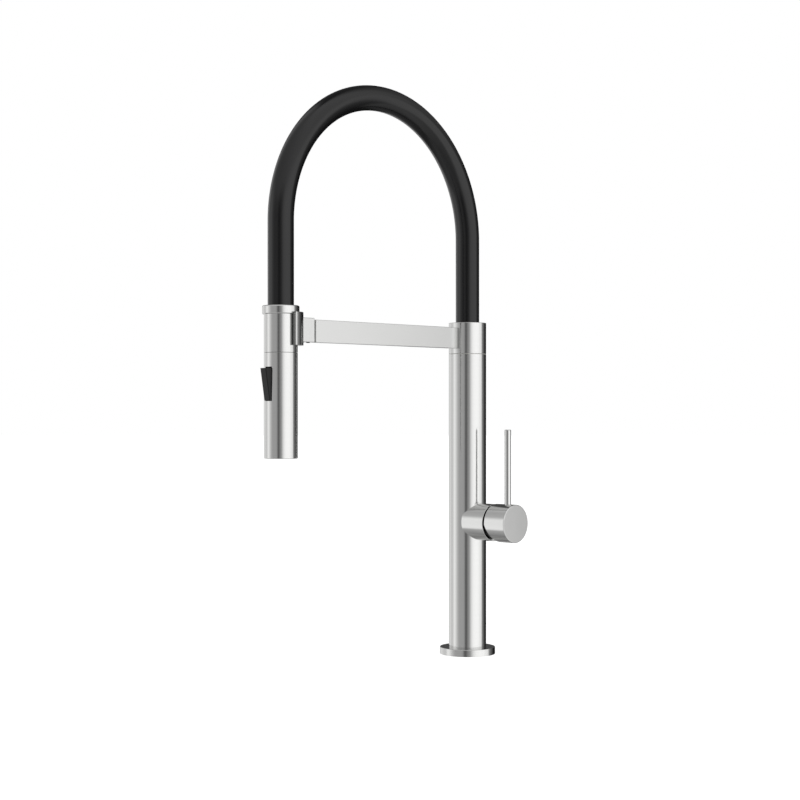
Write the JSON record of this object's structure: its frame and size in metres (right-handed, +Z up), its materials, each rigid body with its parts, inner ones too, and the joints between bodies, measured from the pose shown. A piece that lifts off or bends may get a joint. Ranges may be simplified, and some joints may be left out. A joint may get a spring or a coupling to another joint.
{
  "type": "pull down kitchen faucet",
  "caption": "Tall column faucet with a side pin lever, a swivelling flat arm that docks a slim spray head, and an arched rubber sleeved hose.",
  "frame": {"origin": "on the column's axis, on the deck face under the base flange, at the top of the mounting shank", "axes": "+Z up along the column, -Y along the spout arm towards the spray head, +X along the handle's axis"},
  "size_m": [0.0848, 0.2811, 0.5726],
  "materials": {
    "brushed_stainless": "fine brushed",
    "brass": "machined",
    "plain_steel": "bright drawn",
    "black_screw": "black oxide",
    "rubber_black": "satin",
    "black_plastic": "fine matt",
    "grey_plastic": "moulded",
    "white_ceramic": "lapped",
    "white_plastic": "moulded"
  },
  "bodies": {
    "faucet_base": {"base_flange": "brushed_stainless", "base_gasket": "rubber_black", "column_tube": "brushed_stainless", "valve_boss": "brushed_stainless", "mounting_shank": "brass", "mixing_manifold": "brass", "riser_tube": "brass", "riser_seals": "rubber_black", "swivel_spigot": "brass", "spigot_seals": "rubber_black", "bearing_washer": "white_plastic", "cartridge_housing": "grey_plastic", "port_seals": "rubber_black", "fixed_ceramic_disc": "white_ceramic", "cartridge_nut": "black_plastic"},
    "mounting_hardware": {"rubber_washer": "rubber_black", "steel_washer": "plain_steel", "mounting_nut": "brass", "nut_clamp_screws": "plain_steel"},
    "cartridge_rotor": {"stem_holder": "grey_plastic", "stem_pivot_pin": "plain_steel"},
    "disc_slider": {"disc_coupler": "grey_plastic", "moving_ceramic_disc": "white_ceramic"},
    "handle": {"lever_stem": "plain_steel", "stem_adapter": "black_plastic", "handle_cap": "brushed_stainless", "lever_pin": "brushed_stainless", "handle_grub_screw": "black_screw"},
    "spout": {"swivel_collar": "brushed_stainless", "spout_grub_screw": "black_screw", "support_arm": "brushed_stainless", "arm_screws": "black_screw", "holder_block": "brushed_stainless", "block_grub_screws": "black_screw", "dock_saddle": "brushed_stainless", "saddle_liner": "black_plastic", "dock_magnets": "plain_steel", "hose_gland": "brass", "inner_hose": "rubber_black", "hose_spring": "plain_steel", "hose_sleeve": "rubber_black"},
    "hose_end": {"hose_end_nipple": "brass", "nipple_seal": "rubber_black"},
    "spray_head": {"hose_end_nut": "brass", "spray_ring": "brushed_stainless", "spray_upper_body": "brushed_stainless", "keeper_ring": "plain_steel", "spray_lower_body": "brushed_stainless", "head_core": "grey_plastic", "check_valve": "white_plastic", "nozzle_face": "black_plastic", "aerator": "black_plastic", "paddle_pin": "plain_steel"},
    "paddle": {"spray_paddle": "black_plastic"},
    "diverter": {"diverter_spool": "white_plastic"}
  },
  "joints": [
    {"name": "nut_slide", "type": "slide", "parent": "faucet_base", "child": "mounting_hardware", "axis": [0, 0, -1], "range_m": [-0.024, 0.075]},
    {"name": "spout_swivel", "type": "hinge", "parent": "faucet_base", "child": "spout", "pos_m": [0, 0, 0.29], "axis": [0, 0, 1], "continuous": true},
    {"name": "spray_undock", "type": "slide", "parent": "spout", "child": "hose_end", "axis": [0, -1, 0], "range_m": [0, 0.06], "deforming": ["hose_sleeve", "hose_spring", "inner_hose"]},
    {"name": "spray_turn", "type": "hinge", "parent": "hose_end", "child": "spray_head", "pos_m": [0, -0.2352, 0.25], "axis": [0, 0, 1], "continuous": true},
    {"name": "spray_toggle", "type": "hinge", "parent": "spray_head", "child": "paddle", "pos_m": [0, -0.2452, 0.24924], "axis": [-1, 0, 0], "range_deg": [0, 9]},
    {"name": "diverter_slide", "type": "slide", "parent": "spray_head", "child": "diverter", "axis": [0, 1, 0], "range_m": [0, 0.001]},
    {"name": "temperature_turn", "type": "hinge", "parent": "faucet_base", "child": "cartridge_rotor", "pos_m": [0.03, 0, 0.124], "axis": [1, 0, 0], "range_deg": [-45, 45]},
    {"name": "disc_slide", "type": "slide", "parent": "cartridge_rotor", "child": "disc_slider", "axis": [0, 0, 1], "range_m": [0, 0.0014]},
    {"name": "flow_lift", "type": "hinge", "parent": "cartridge_rotor", "child": "handle", "pos_m": [0.03, 0, 0.124], "axis": [0, 1, 0], "range_deg": [0, 20]}
  ],
  "couplings": [
    {"joint": "disc_slide", "follows": "flow_lift", "m_per_rad": 0.0038},
    {"joint": "diverter_slide", "follows": "spray_toggle", "m_per_rad": 0.006}
  ]
}
